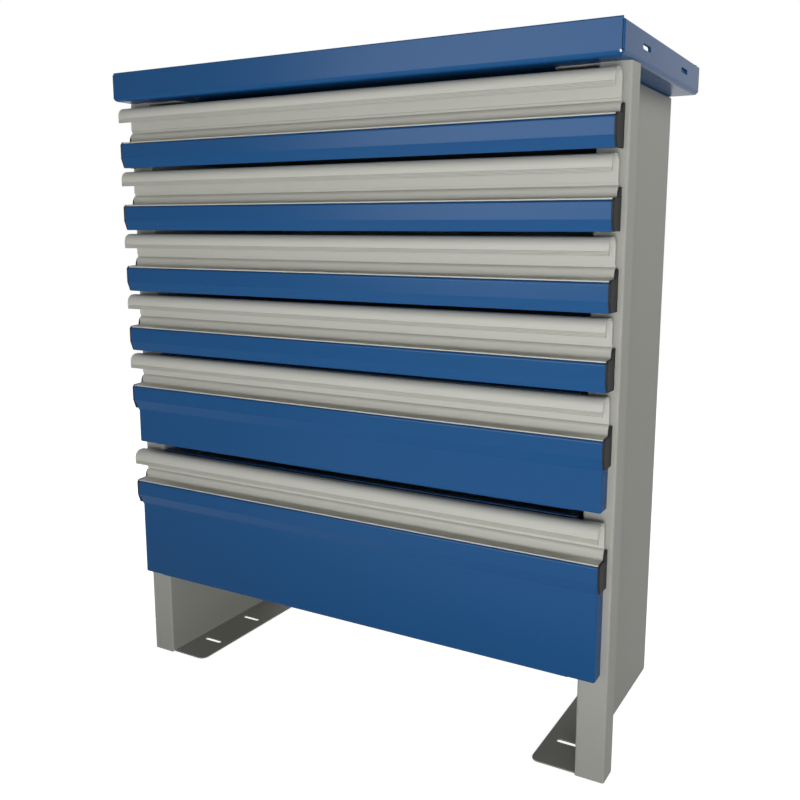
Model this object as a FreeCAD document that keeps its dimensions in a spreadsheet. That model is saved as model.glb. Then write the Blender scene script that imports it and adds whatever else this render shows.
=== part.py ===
import FreeCAD, Part
import Sketcher
import math
import os

from FreeCAD import Placement, Rotation, Vector

# Drawer unit for a van or a workshop: two folded side frames that bolt to the floor, a shallow tray on
# top and six drawers with full-width hook handles, each on a pair of three-member slides.
# Millimetres. X runs along the fronts, Y from the front to the back, Z up from the floor.
# The origin is on the floor, in the middle of the whole unit's width and depth.

DIMENSIONS = (
    # the unit's frame of reference
    ("post_front", -120.7, "front face of the posts; the unit reaches as far before the origin as behind"),
    # side frames
    ("frame_sheet", 1.5, "sheet of the side frames and of the top tray"),
    ("frame_height", 715.3, "height of the side frames"),
    ("frame_depth", 267.0, "depth of the side frames"),
    ("plate_inside", 281.6, "from the middle to the inner face of a side plate"),
    ("post_outside", 313.5, "from the middle to the outer face of a post"),
    ("post_return", 26.0, "depth of a post's side return"),
    ("flange_setback", 3.0, "from the post face to the front edge of the flanges"),
    ("floor_flange", 50.6, "width of the floor flange inside the plate"),
    ("top_flange", 45.6, "width of the top flange inside the plate"),
    ("back_flange", 16.0, "width of the rear flange inside the plate"),
    ("flange_corner", 9.0, "radius of the flanges' free front corners"),
    ("bend_outside", 2.5, "outer radius of the folds"),
    ("bend_inside", 1.0, "inner radius of the folds"),
    ("relief_height", 3.0, "height of the notch that frees the flanges from the post face"),
    ("relief_inset", 1.0, "how far that notch reaches inwards past the plate"),
    ("relief_gap", 0.3, "how far that notch stays behind the post sheet"),
    ("back_flange_gap", 3.0, "how far the rear flange ends below the top"),
    ("slot_middle", 257.05, "from the middle to the middle of the floor slots"),
    ("slot_first", 52.5, "from the post face to the first floor slot"),
    ("slot_pitch", 82.5, "from one floor slot to the next"),
    ("slot_length", 27.0, "end-to-end length of every slot"),
    ("slot_width", 6.5, "width of the floor slots"),
    ("cover_screw_x", 258.0, "from the middle to the top tray's screws"),
    ("cover_screw_first", 60.0, "from the post face to the front screws"),
    ("cover_screw_pitch", 150.0, "from the front screws to the rear screws"),
    ("cover_screw_hole", 3.25, "radius of the screw holes"),
    # top tray
    ("cover_outside", 313.5, "from the middle to the outer face of a side wall"),
    ("cover_front", 27.0, "how far the top tray stands out before the post face"),
    ("cover_height", 33.4, "height of the top tray's front wall"),
    ("cover_side_drop", 2.6, "how much lower its side and rear walls end"),
    ("cover_wall", 3.0, "thickness of its doubled walls"),
    ("cover_bend", 5.0, "outer radius of the folds along its bottom"),
    ("cover_root", 2.0, "inner radius where its walls meet the base"),
    ("cover_rim", 1.4, "rounding of the doubled rims and of the upright corners"),
    ("seam_middle", 311.4, "from the middle to the open corner seams"),
    ("seam_width", 0.6, "width of those seams"),
    ("seam_foot", 4.2, "height at which they start, in the middle of their relief hole"),
    ("seam_hole", 1.6, "radius of the relief hole, drilled from the corner towards the inside"),
    ("seam_hole_reach", 6.0, "how far the drill passes to either side of the front or rear face"),
    ("side_slot_first", 45.0, "from the post face to the first slot in the side wall"),
    ("side_slot_pitch", 150.0, "from the first to the second slot in the side wall"),
    ("side_slot_height", 16.8, "height of these slots above the underside"),
    ("side_slot_width", 5.2, "width of these slots"),
    # back panel
    ("panel_sheet", 1.0, "sheet of the back panel and of the drawer trays"),
    ("panel_half", 281.2, "half the width of the back panel"),
    ("panel_bottom", 100.0, "height of the back panel's lower edge"),
    ("panel_top", 712.6, "height of the back panel's upper edge"),
    ("panel_fold", 15.0, "depth of its stiffening folds at top and bottom"),
    ("rivet_x", 273.6, "from the middle to the rivets"),
    ("rivet_first", 160.0, "height of the lowest rivets"),
    ("rivet_pitch", 170.0, "from one rivet to the next"),
    ("rivet_hole", 2.45, "radius of the rivet holes"),
    ("rivet_shank", 2.4, "radius of a rivet's shank"),
    ("rivet_head", 4.75, "radius of a rivet's head"),
    ("rivet_brim", 0.3, "height of the head's upright brim"),
    ("rivet_dome", 1.4, "height of a rivet's head"),
    ("rivet_bulb", 3.5, "radius of a rivet's blind end"),
    ("rivet_tail", 3.0, "length of a rivet's blind end"),
    # top tray screws and nuts
    ("screw_shank", 2.95, "radius of the screws"),
    ("screw_head", 6.0, "radius of the screw heads"),
    ("screw_head_height", 3.6, "height of the screw heads"),
    ("screw_length", 9.0, "length of the screws under their heads"),
    ("screw_point", 0.6, "chamfer at the screws' ends"),
    ("screw_socket", 2.0, "half the width across flats of the hexagon socket"),
    ("screw_socket_depth", 2.2, "depth of the hexagon socket"),
    ("nut_half", 5.0, "half the width across flats of the weld nuts"),
    ("nut_height", 5.0, "height of the weld nuts"),
    ("nut_bore", 3.0, "radius of the weld nuts' thread"),
    # drawer positions: the height of the upper edge of each blue band
    ("band_1", 666.4, "blue band of the top drawer"),
    ("band_2", 591.4, "one 75 mm step lower"),
    ("band_3", 516.4, "one 75 mm step lower"),
    ("band_4", 441.4, "one 75 mm step lower"),
    ("band_5", 366.4, "one 75 mm step lower"),
    ("band_6", 241.4, "one 125 mm step lower"),
    # handle extrusion, measured from the post face and from the blue band's upper edge
    ("handle_half", 306.2, "half the length of the handles"),
    ("handle_wall", 1.5, "wall thickness of the extrusion"),
    ("handle_back", -3.8, "rear face of the extrusion"),
    ("handle_main", -6.8, "front face of the plane behind the fingers"),
    ("handle_top", 41.3, "top of the hook"),
    ("handle_shoulder", -26.6, "front of the hook at its top, before its bend"),
    ("handle_crease", -27.0, "front of the hook above its ribbed foot"),
    ("handle_crease_up", 29.0, "upper edge of the ribbed foot"),
    ("handle_lip", 23.8, "lower edge of the ribbed foot"),
    ("handle_lip_thick", 2.2, "thickness of the ribbed foot"),
    ("rib_count", 4, "how many grooves the foot carries for the fingertips"),
    ("rib_pitch", 1.2, "from one groove to the next"),
    ("rib_land", 0.4, "height of the flat rib between two grooves"),
    ("rib_depth", 0.7, "depth of the grooves"),
    ("handle_hook_radius", 9.5, "outer radius of the hook's two bends"),
    ("handle_hook_inside", 8.0, "inner radius of the hook's two bends"),
    ("handle_step", 15.6, "height at which the plane steps back into the groove"),
    ("handle_groove", -4.8, "floor of the groove"),
    ("handle_groove_foot", 13.0, "lower end of the groove"),
    ("handle_swell", -7.9, "upright face of the swell under the groove"),
    ("handle_swell_up", 11.4, "where that face would meet the slope from the groove"),
    ("handle_swell_radius", 5.4, "radius of the swell's rounded top"),
    ("handle_cove_up", 2.1, "height at which the swell meets the ledge"),
    ("handle_cove_radius", 2.4, "radius between the swell and the ledge"),
    ("handle_ledge", -22.4, "front of the ledge on the blue band"),
    ("handle_ledge_up", 1.3, "height of the ledge's front edge"),
    ("handle_leg_foot", -20.0, "lower end of the leg behind the band"),
    # blue drawer front, measured the same way
    ("front_sheet", 1.2, "sheet of the drawer fronts"),
    ("front_face", -24.0, "face of the blue band"),
    ("front_break", -18.0, "height at which the face turns back"),
    ("front_break_drop", 0.2, "how much lower that turn lies on the inside"),
    ("front_edge", -20.0, "lower edge of a low drawer's front"),
    ("front_foot", -29.2, "height of a low drawer's lower edge"),
    ("front_inner", -13.0, "rear end of the band's hidden top fold"),
    ("front_hem", 3.0, "fold under the lower edge"),
    ("front_radius", 3.0, "rounding of the band's upper edge"),
    ("wall_half", 277.0, "half the width of the wall that passes between the posts"),
    ("wall_rim", 3.0, "rear edge of that wall's top rim"),
    ("wall_top", 41.0, "top of that wall"),
    ("wall_hem", 2.5, "height of the rim's hem"),
    ("web_top", -22.3, "upper face of the web between wall and band"),
    ("web_overlap", 2.6, "from the band's face to the front end of that web"),
    ("apron_half", 305.5, "half the width of a tall front below its band"),
    ("apron_face", -17.8, "face of a tall front below its band"),
    ("apron_start", -30.5, "height at which the tall front turns upright again"),
    ("apron_back", -0.8, "rear edge of a tall front's side folds"),
    ("apron_radius", 2.1, "outer radius of a tall front's folds"),
    ("foot_5", -73.4, "lower edge of drawer 5"),
    ("foot_6", -124.7, "lower edge of drawer 6"),
    # end caps
    ("cap_sheet", 2.4, "thickness of the end caps"),
    ("cap_back", -1.2, "rear edge of the end caps"),
    ("cap_top", 11.4, "top of the end caps"),
    ("cap_tip", -5.6, "front of the cap at its top"),
    ("cap_slope", -8.0, "front of the cap at the foot of its slope"),
    ("cap_slope_up", 7.4, "height of that foot"),
    ("cap_cove", -8.9, "where the cap's front meets its ledge"),
    ("cap_ledge", 2.3, "height of that ledge"),
    ("cap_shoulder", -21.6, "front of that ledge"),
    ("cap_shoulder_up", 1.7, "height of the ledge's front end"),
    ("cap_face", -24.1, "front of the end caps"),
    ("cap_face_up", -1.4, "upper end of that front"),
    ("cap_foot", -28.9, "lower edge of the end caps"),
    ("cap_edge", -20.1, "front of that lower edge"),
    ("cap_round", 0.7, "rounding of the caps' outer edges"),
    ("plug_depth", 9.0, "how far the plug reaches into the handle"),
    ("plug_front", -19.0, "front of the plug"),
    ("plug_back", -7.0, "rear of the plug"),
    ("plug_top", -3.5, "top of the plug"),
    ("plug_foot", -17.5, "lower end of the plug"),
    ("plug_wall", 2.0, "wall of the hollow plug"),
    # drawer trays
    ("tray_half", 265.6, "half the width of the trays"),
    ("tray_front", -2.6, "front face of the trays"),
    ("tray_back", 250.0, "rear face of the trays"),
    ("tray_rim_up", 30.0, "top of the trays' rims"),
    ("tray_rim", 11.0, "width of the rims"),
    ("tray_bend", 1.8, "outer radius of the trays' folds"),
    ("tray_foot_low", -23.5, "underside of a low tray"),
    ("tray_foot_5", -71.0, "underside of tray 5"),
    ("tray_foot_6", -120.5, "underside of tray 6"),
    # slides, measured inwards from the side plate and up from the blue band's upper edge
    ("slide_up", 2.0, "height of the slides' middle line"),
    ("rail_sheet", 1.3, "sheet of the slide members"),
    ("rail_front", 6.0, "from the post face to the front of the fixed members"),
    ("rail_length", 250.0, "length of the fixed members"),
    ("rail_half", 18.0, "half the height of a fixed member"),
    ("rail_deep", 11.0, "depth of a fixed member"),
    ("rail_lip", 2.4, "height of the lips that hold the balls"),
    ("middle_face", 2.2, "from the side plate to the middle member's web"),
    ("middle_half", 13.6, "half the height of a middle member"),
    ("middle_deep", 12.6, "from the side plate to the middle member's edges"),
    ("middle_inset", 1.5, "how far the middle member ends inside the fixed member"),
    ("inner_face", 16.0, "from the side plate to the drawer member's web, its rear side"),
    ("inner_half", 9.6, "half the height of a drawer member"),
    ("inner_edge", 5.0, "from the side plate to the drawer member's edges"),
    ("inner_lead", 1.0, "how far the drawer member starts before the fixed member"),
    ("inner_short", 7.0, "how much shorter the drawer member is"),
)

DRAWERS = (1, 2, 3, 4, 5, 6)
TALL_FEET = {5: "dims.foot_5", 6: "dims.foot_6"}
TRAY_FEET = {5: "dims.tray_foot_5", 6: "dims.tray_foot_6"}
RIGHT = ("right", "")
LEFT = ("left", "-")
NEAR = 0.02

# where a sketch's lines and circles start, before their constraints place them
START_REACH = 40.0
START_RADIUS = 2.0

doc = FreeCAD.newDocument("drawer_unit")
sheet = doc.addObject("Spreadsheet::Sheet", "dims")
for row, (alias, number, meaning) in enumerate(DIMENSIONS, start=1):
    sheet.set("A%d" % row, alias)
    sheet.set("B%d" % row, str(number))
    sheet.set("C%d" % row, meaning)
    sheet.setAlias("B%d" % row, alias)
doc.recompute()

nodes = []


def size(alias):
    """A driving dimension, read back from the sheet."""
    return float(sheet.get(alias))


def bind(thing, prop, expression):
    """Hold one property to the sheet."""
    thing.setExpression(prop, expression)


def new_body(name):
    """An empty body."""
    body = doc.addObject("PartDesign::Body", name)
    body.Label = name
    return body


def node(thing, name):
    """Name a finished sub-part; its label is its file name."""
    thing.Label = name
    nodes.append(thing)
    return thing


def new_sketch(body, name, plane, lift=None):
    """A sketch on one of the body's own origin planes, lifted off it by an expression."""
    sketch = body.newObject("Sketcher::SketchObject", name)
    planes = [item for item in body.Origin.OriginFeatures if item.Role == plane]
    sketch.AttachmentSupport = [(planes[0], "")]
    sketch.MapMode = "FlatFace"
    if lift is not None:
        bind(sketch, "AttachmentOffset.Base.z", lift)
    return sketch


def outline(sketch, corners):
    """A closed straight-sided outline; two expressions hold each corner to the sketch's origin."""
    first = sketch.GeometryCount
    count = len(corners)
    turn = 2.0 * math.pi / count
    angles = [turn * step for step in range(count)]
    ring = [Vector(START_REACH * math.cos(angle), START_REACH * math.sin(angle), 0) for angle in angles]
    lines = [Part.LineSegment(ring[step], ring[(step + 1) % count]) for step in range(count)]
    sketch.addGeometry(lines, False)
    joints = []
    for step in range(count):
        joints.append(Sketcher.Constraint("Coincident", first + step, 2, first + (step + 1) % count, 1))
    sketch.addConstraint(joints)
    held = sketch.ConstraintCount
    places = []
    for step in range(count):
        places.append(Sketcher.Constraint("DistanceX", -1, 1, first + step, 1, ring[step].x + 1.0))
        places.append(Sketcher.Constraint("DistanceY", -1, 1, first + step, 1, ring[step].y + 1.0))
    sketch.addConstraint(places)
    for step, (across, up) in enumerate(corners):
        bind(sketch, "Constraints[%d]" % (held + 2 * step), across)
        bind(sketch, "Constraints[%d]" % (held + 2 * step + 1), up)


def box_corners(low_across, low_up, high_across, high_up):
    """The four corners of a rectangle."""
    return ((low_across, low_up), (high_across, low_up), (high_across, high_up), (low_across, high_up))


def circle(sketch, across, up, radius):
    """A circle held to the sheet by its middle and its radius."""
    index = sketch.GeometryCount
    start = Vector(START_REACH, START_REACH, 0)
    sketch.addGeometry(Part.Circle(start, Vector(0, 0, 1), START_RADIUS), False)
    held = sketch.ConstraintCount
    sketch.addConstraint([
        Sketcher.Constraint("DistanceX", -1, 1, index, 3, START_REACH),
        Sketcher.Constraint("DistanceY", -1, 1, index, 3, START_REACH),
        Sketcher.Constraint("Radius", index, START_RADIUS),
    ])
    for step, expression in enumerate((across, up, radius)):
        bind(sketch, "Constraints[%d]" % (held + step), expression)


def add_pad(body, name, sketch, length, reverse=False):
    """Pad a sketch by a length from the sheet."""
    pad = body.newObject("PartDesign::Pad", name)
    pad.Profile = sketch
    bind(pad, "Length", length)
    pad.Reversed = reverse
    return pad


def add_pocket(body, name, sketch, length, reverse=False):
    """Cut a sketch into the body; the volume has to go down."""
    doc.recompute()
    before = body.Shape.Volume
    pocket = body.newObject("PartDesign::Pocket", name)
    pocket.Profile = sketch
    bind(pocket, "Length", length)
    pocket.Reversed = reverse
    doc.recompute()
    if not body.Shape.Volume < before - 1e-6:
        raise RuntimeError("%s cuts nothing" % name)
    return pocket


def edges_where(shape, test):
    """Names of the straight edges whose two ends both pass the test."""
    found = []
    for index, edge in enumerate(shape.Edges, start=1):
        ends = [vertex.Point for vertex in edge.Vertexes]
        if len(ends) == 2 and edge.Curve.TypeId == "Part::GeomLine" and test(ends[0], ends[1]):
            found.append("Edge%d" % index)
    return found


def add_round(body, name, base, test, radius):
    """Round the edges that pass the test."""
    doc.recompute()
    found = edges_where(base.Shape, test)
    if not found:
        raise RuntimeError("%s finds no edge" % name)
    rounding = body.newObject("PartDesign::Fillet", name)
    rounding.Base = (base, found)
    bind(rounding, "Radius", radius)
    doc.recompute()
    if "Invalid" in rounding.State or rounding.Shape.isNull():
        raise RuntimeError("%s fails" % name)
    return rounding


def close(one, other):
    """Whether two lengths agree."""
    return abs(one - other) < NEAR


def along_x_at(places):
    """A test for edges along X that pass through one of the (y, z) places."""
    def test(start, end):
        if close(start.x, end.x) or not close(start.y, end.y) or not close(start.z, end.z):
            return False
        return any(close(start.y, y) and close(start.z, z) for y, z in places)
    return test


def along_y_at(places):
    """A test for edges along Y that pass through one of the (x, z) places."""
    def test(start, end):
        if close(start.y, end.y) or not close(start.x, end.x) or not close(start.z, end.z):
            return False
        return any(close(start.x, x) and close(start.z, z) for x, z in places)
    return test


def along_z_at(places):
    """A test for upright edges that pass through one of the (x, y) places."""
    def test(start, end):
        if close(start.z, end.z) or not close(start.x, end.x) or not close(start.y, end.y):
            return False
        return any(close(start.x, x) and close(start.y, y) for x, y in places)
    return test


def slot_shape(body, name, plane, lift, middle, width, depth):
    """A round-ended slot along the sketch's first axis: a straight stretch and its two round ends."""
    across, up = middle
    half = "%s / 2" % width
    reach = "(dims.slot_length / 2 - %s)" % half
    stretch = new_sketch(body, name + "_stretch", plane, lift)
    outline(stretch, box_corners(
        "%s - %s" % (across, reach), "%s - %s" % (up, half),
        "%s + %s" % (across, reach), "%s + %s" % (up, half),
    ))
    add_pocket(body, name + "_cut", stretch, depth, True)
    for word, sign in (("low", "-"), ("high", "+")):
        tip = new_sketch(body, "%s_end_%s" % (name, word), plane, lift)
        circle(tip, "%s %s %s" % (across, sign, reach), up, half)
        add_pocket(body, "%s_end_cut_%s" % (name, word), tip, depth, True)


def side_frame(side):
    """One side frame, folded from a single sheet."""
    word, sign = side
    body = new_body("side_frame_" + word)
    way = -1.0 if sign else 1.0
    front = "dims.post_front"
    rear = "dims.post_front + dims.frame_depth"
    inside = sign + "dims.plate_inside"
    outside = sign + "dims.post_outside"
    plate_outside = "%s(dims.plate_inside + dims.frame_sheet)" % sign
    return_inside = "%s(dims.post_outside - dims.frame_sheet)" % sign

    section = new_sketch(body, "section_" + word, "XY_Plane")
    outline(section, (
        (inside, front),
        (outside, front),
        (outside, front + " + dims.post_return"),
        (return_inside, front + " + dims.post_return"),
        (return_inside, front + " + dims.frame_sheet"),
        (plate_outside, front + " + dims.frame_sheet"),
        (plate_outside, rear),
        (inside, rear),
    ))
    folded = add_pad(body, "folded_" + word, section, "dims.frame_height")
    face = size("post_front")
    plate_x = way * size("plate_inside")
    post_x = way * size("post_outside")
    wall = size("frame_sheet")
    outer_folds = along_z_at(((plate_x, face), (post_x, face)))
    rounded = add_round(body, "outer_folds_" + word, folded, outer_folds, "dims.bend_outside")
    inner_folds = along_z_at(((plate_x + way * wall, face + wall), (post_x - way * wall, face + wall)))
    add_round(body, "inner_folds_" + word, rounded, inner_folds, "dims.bend_inside")

    start = front + " + dims.flange_setback"
    for place, lift, reach, reverse in (
        ("floor", "0", "dims.floor_flange", False),
        ("top", "dims.frame_height", "dims.top_flange", True),
    ):
        flange = new_sketch(body, "%s_flange_%s" % (place, word), "XY_Plane", lift)
        free_edge = "%s(dims.plate_inside - %s)" % (sign, reach)
        outline(flange, box_corners(free_edge, start, inside, rear))
        padded = add_pad(body, "%s_sheet_%s" % (place, word), flange, "dims.frame_sheet", reverse)
        doc.recompute()
        free_x = plate_x - way * size("floor_flange" if place == "floor" else "top_flange")
        free_y = face + size("flange_setback")
        corner = along_z_at(((free_x, free_y),))
        add_round(body, "%s_corner_%s" % (place, word), padded, corner, "dims.flange_corner")

    for place, lift, upwards in (("low", "0", True), ("high", "dims.frame_height", False)):
        relief = new_sketch(body, "relief_%s_%s" % (place, word), "XY_Plane", lift)
        outline(relief, box_corners(
            sign + "(dims.plate_inside - dims.relief_inset)",
            front + " + dims.frame_sheet + dims.relief_gap",
            sign + "(dims.plate_inside + dims.frame_sheet + dims.bend_inside)", start,
        ))
        add_pocket(body, "relief_cut_%s_%s" % (place, word), relief, "dims.relief_height", upwards)

    height = size("frame_height")
    plate_outer = plate_x + way * wall
    bottom_folds = along_y_at(((plate_outer, 0.0), (plate_outer, height)))
    outer = add_round(body, "flange_bends_" + word, body.Tip, bottom_folds, "dims.bend_outside")
    inner_bends = along_y_at(((plate_x, wall), (plate_x, height - wall)))
    add_round(body, "flange_roots_" + word, outer, inner_bends, "dims.bend_inside")

    back = new_sketch(body, "back_flange_" + word, "XY_Plane", "dims.panel_bottom")
    outline(back, box_corners(
        sign + "(dims.plate_inside - dims.back_flange)", rear + " - dims.frame_sheet",
        inside, rear,
    ))
    add_pad(body, "back_sheet_" + word, back, "dims.frame_height - dims.panel_bottom - dims.back_flange_gap")
    doc.recompute()

    floor_x = sign + "dims.slot_middle"
    for step in range(3):
        slot_y = "%s + dims.slot_first + %d * dims.slot_pitch" % (front, step)
        slot_shape(body, "slot_%d_%s" % (step, word), "XY_Plane", "0",
                   (floor_x, slot_y), "dims.slot_width", "dims.frame_sheet")

    holes = new_sketch(body, "screw_holes_" + word, "XY_Plane", "dims.frame_height")
    for step in range(2):
        hole_y = "%s + dims.cover_screw_first + %d * dims.cover_screw_pitch" % (front, step)
        circle(holes, sign + "dims.cover_screw_x", hole_y, "dims.cover_screw_hole")
    add_pocket(body, "screw_holes_cut_" + word, holes, "dims.frame_sheet")

    rivets = new_sketch(body, "rivet_holes_" + word, "XZ_Plane", "-(%s)" % rear)
    for step in range(4):
        circle(rivets, sign + "dims.rivet_x", "dims.rivet_first + %d * dims.rivet_pitch" % step,
               "dims.rivet_hole")
    add_pocket(body, "rivet_holes_cut_" + word, rivets, "dims.frame_sheet", True)
    return node(body, "side_frame_" + word)


def top_tray():
    """The shallow tray on top: a sheet base with doubled walls and an open seam near each corner."""
    body = new_body("top_tray_shell")
    base = "dims.frame_height"
    top = base + " + dims.cover_height"
    front = "dims.post_front - dims.cover_front"
    rear = "dims.post_front + dims.frame_depth"
    half = "dims.cover_outside"
    front_y = size("post_front") - size("cover_front")
    rear_y = size("post_front") + size("frame_depth")
    out_x = size("cover_outside")
    under = size("frame_height")

    plan = new_sketch(body, "cover_plan", "XY_Plane", base)
    outline(plan, box_corners("-" + half, front, half, rear))
    block = add_pad(body, "cover_block", plan, "dims.cover_height")

    def bottom_edges(start, end):
        return close(start.z, under) and close(end.z, under)
    add_round(body, "cover_bottom_folds", block, bottom_edges, "dims.cover_bend")

    inside = new_sketch(body, "cover_inside", "XY_Plane", top)
    outline(inside, box_corners(
        "-(%s - dims.cover_wall)" % half, front + " + dims.cover_wall",
        half + " - dims.cover_wall", rear + " - dims.cover_wall",
    ))
    hollow = add_pocket(body, "cover_hollow", inside, "dims.cover_height - dims.frame_sheet")
    floor_z = under + size("frame_sheet")

    def root_edges(start, end):
        in_x = abs(start.x) < out_x - NEAR and abs(end.x) < out_x - NEAR
        in_y = min(start.y, end.y) > front_y + NEAR and max(start.y, end.y) < rear_y - NEAR
        low = close(start.z, floor_z) or close(end.z, floor_z)
        return in_x and in_y and low
    add_round(body, "cover_roots", hollow, root_edges, "dims.cover_root")

    drop = new_sketch(body, "cover_low_walls", "XY_Plane", top)
    inner_face = "(%s - dims.cover_wall)" % half
    inner_front = front + " + dims.cover_wall"
    inner_rear = rear + " - dims.cover_wall"
    outline(drop, (
        (inner_face, inner_front),
        ("dims.seam_middle", inner_front),
        ("dims.seam_middle", front),
        (half, front),
        (half, rear),
        ("-" + half, rear),
        ("-" + half, front),
        ("-dims.seam_middle", front),
        ("-dims.seam_middle", inner_front),
        ("-" + inner_face, inner_front),
        ("-" + inner_face, inner_rear),
        (inner_face, inner_rear),
    ))
    add_pocket(body, "cover_low_walls_cut", drop, "dims.cover_side_drop")

    seams = new_sketch(body, "cover_seams", "XY_Plane", top)
    for sign in ("", "-"):
        low = "%s(dims.seam_middle - dims.seam_width / 2)" % sign
        high = "%s(dims.seam_middle + dims.seam_width / 2)" % sign
        outline(seams, box_corners(low, front, high, front + " + dims.cover_wall"))
        outline(seams, box_corners(low, rear + " - dims.cover_wall", high, rear))
    add_pocket(body, "cover_seam_cut", seams, "dims.cover_height - dims.seam_foot")

    for word, lift in (("right", half + " - dims.cover_wall"), ("left", "-" + half)):
        for step in range(2):
            slot_y = "dims.post_front + dims.side_slot_first + %d * dims.side_slot_pitch" % step
            slot_shape(body, "side_slot_%d_%s" % (step, word), "YZ_Plane", lift,
                       (slot_y, base + " + dims.side_slot_height"), "dims.side_slot_width",
                       "dims.cover_wall")

    holes = new_sketch(body, "cover_screw_holes", "XY_Plane", base + " + dims.frame_sheet")
    for sign in ("", "-"):
        for step in range(2):
            hole_y = "dims.post_front + dims.cover_screw_first + %d * dims.cover_screw_pitch" % step
            circle(holes, sign + "dims.cover_screw_x", hole_y, "dims.cover_screw_hole")
    add_pocket(body, "cover_screw_cut", holes, "dims.frame_sheet")

    front_top = under + size("cover_height")
    side_top = front_top - size("cover_side_drop")
    side_rims = along_y_at(((out_x, side_top), (-out_x, side_top)))
    uprights = along_z_at(((out_x, front_y), (-out_x, front_y), (out_x, rear_y), (-out_x, rear_y)))

    def side_edges(start, end):
        return side_rims(start, end) or uprights(start, end)
    sides = add_round(body, "cover_side_rims", body.Tip, side_edges, "dims.cover_rim")
    outer_rims = along_x_at(((front_y, front_top), (rear_y, side_top)))

    def long_rims(start, end):
        return outer_rims(start, end) and abs(end.x - start.x) > out_x
    add_round(body, "cover_long_rims", sides, long_rims, "dims.cover_rim")

    drills = []
    for word, way_x, way_y, face_y, turn in (
        ("front_right", 1.0, 1.0, front_y, 135.0), ("front_left", -1.0, 1.0, front_y, 45.0),
        ("rear_right", 1.0, -1.0, rear_y, -135.0), ("rear_left", -1.0, -1.0, rear_y, -45.0),
    ):
        drill = doc.addObject("Part::Cylinder", "relief_hole_" + word)
        bind(drill, "Radius", "dims.seam_hole")
        bind(drill, "Height", "2 * dims.seam_hole_reach")
        heading = Rotation(Vector(0, 0, 1), turn)
        lying = heading.multiply(Rotation(Vector(0, 1, 0), 90))
        start = heading.multVec(Vector(-size("seam_hole_reach"), 0, 0))
        mouth = Vector(way_x * size("seam_middle"), face_y, under + size("seam_foot"))
        drill.Placement = Placement(mouth + start, lying)
        drills.append(drill)
    tools = doc.addObject("Part::MultiFuse", "relief_holes")
    tools.Shapes = drills
    cover = doc.addObject("Part::Cut", "top_tray")
    cover.Base = body
    cover.Tool = tools
    return node(cover, "top_tray")


def back_panel():
    """The sheet that closes the back, with a stiffening fold along its top and its bottom."""
    body = new_body("back_panel")
    rear = "dims.post_front + dims.frame_depth - dims.frame_sheet"
    plan = new_sketch(body, "panel_section", "YZ_Plane", "-dims.panel_half")
    fold = rear + " - dims.panel_fold"
    skin = rear + " - dims.panel_sheet"
    outline(plan, (
        (rear, "dims.panel_bottom"),
        (rear, "dims.panel_top"),
        (fold, "dims.panel_top"),
        (fold, "dims.panel_top - dims.panel_sheet"),
        (skin, "dims.panel_top - dims.panel_sheet"),
        (skin, "dims.panel_bottom + dims.panel_sheet"),
        (fold, "dims.panel_bottom + dims.panel_sheet"),
        (fold, "dims.panel_bottom"),
    ))
    padded = add_pad(body, "panel_sheet_pad", plan, "2 * dims.panel_half")
    rear_y = size("post_front") + size("frame_depth") - size("frame_sheet")
    folds = along_x_at(((rear_y, size("panel_bottom")), (rear_y, size("panel_top"))))
    add_round(body, "panel_folds", padded, folds, "dims.tray_bend")
    holes = new_sketch(body, "panel_holes", "XZ_Plane", "-(%s)" % rear)
    for sign in ("", "-"):
        for step in range(4):
            circle(holes, sign + "dims.rivet_x", "dims.rivet_first + %d * dims.rivet_pitch" % step,
                   "dims.rivet_hole")
    add_pocket(body, "panel_holes_cut", holes, "dims.panel_sheet", True)
    return node(body, "back_panel")


def group(name, master, places):
    """Identical fasteners: copies of one solid, each at its own place."""
    doc.recompute()
    copies = []
    for place in places:
        copied = master.Shape.copy()
        copied.translate(place)
        copies.append(copied)
    feature = doc.addObject("Part::Feature", name)
    feature.Shape = Part.makeCompound(copies)
    feature.Placement = Placement()
    return node(feature, name)


def turned(name, corners):
    """A solid of revolution about Z: its half section lies in the XZ plane."""
    body = new_body(name)
    half = new_sketch(body, name + "_half", "XZ_Plane")
    outline(half, corners)
    spin = body.newObject("PartDesign::Revolution", name + "_turned")
    spin.Profile = half
    spin.ReferenceAxis = (half, ["V_Axis"])
    spin.Angle = 360.0
    doc.recompute()
    return body


def back_rivets():
    """Blind rivets through the frames' rear flanges and the back panel; they lie along Y."""
    grip = "(dims.frame_sheet + dims.panel_sheet)"
    rivet = turned("rivet_master", (
        ("0", "dims.rivet_dome"),
        ("dims.rivet_head * 0.55", "dims.rivet_dome * 0.8"),
        ("dims.rivet_head", "dims.rivet_brim"),
        ("dims.rivet_head", "0"),
        ("dims.rivet_shank", "0"),
        ("dims.rivet_shank", "-" + grip),
        ("dims.rivet_bulb", "-" + grip),
        ("dims.rivet_bulb", "-%s - dims.rivet_tail * 0.7" % grip),
        ("dims.rivet_bulb * 0.6", "-%s - dims.rivet_tail" % grip),
        ("0", "-%s - dims.rivet_tail" % grip),
    ))
    rivet.Placement = Placement(Vector(0, 0, 0), Rotation(Vector(1, 0, 0), -90))
    rear_y = size("post_front") + size("frame_depth")
    places = []
    for way in (-1, 1):
        for step in range(4):
            up = size("rivet_first") + step * size("rivet_pitch")
            places.append(Vector(way * size("rivet_x"), rear_y, up))
    return group("back_rivets", rivet, places)


def cover_screw_places(height):
    """Where the top tray's four screws stand."""
    places = []
    for way in (-1, 1):
        for step in range(2):
            along = size("post_front") + size("cover_screw_first") + step * size("cover_screw_pitch")
            places.append(Vector(way * size("cover_screw_x"), along, height))
    return places


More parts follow.
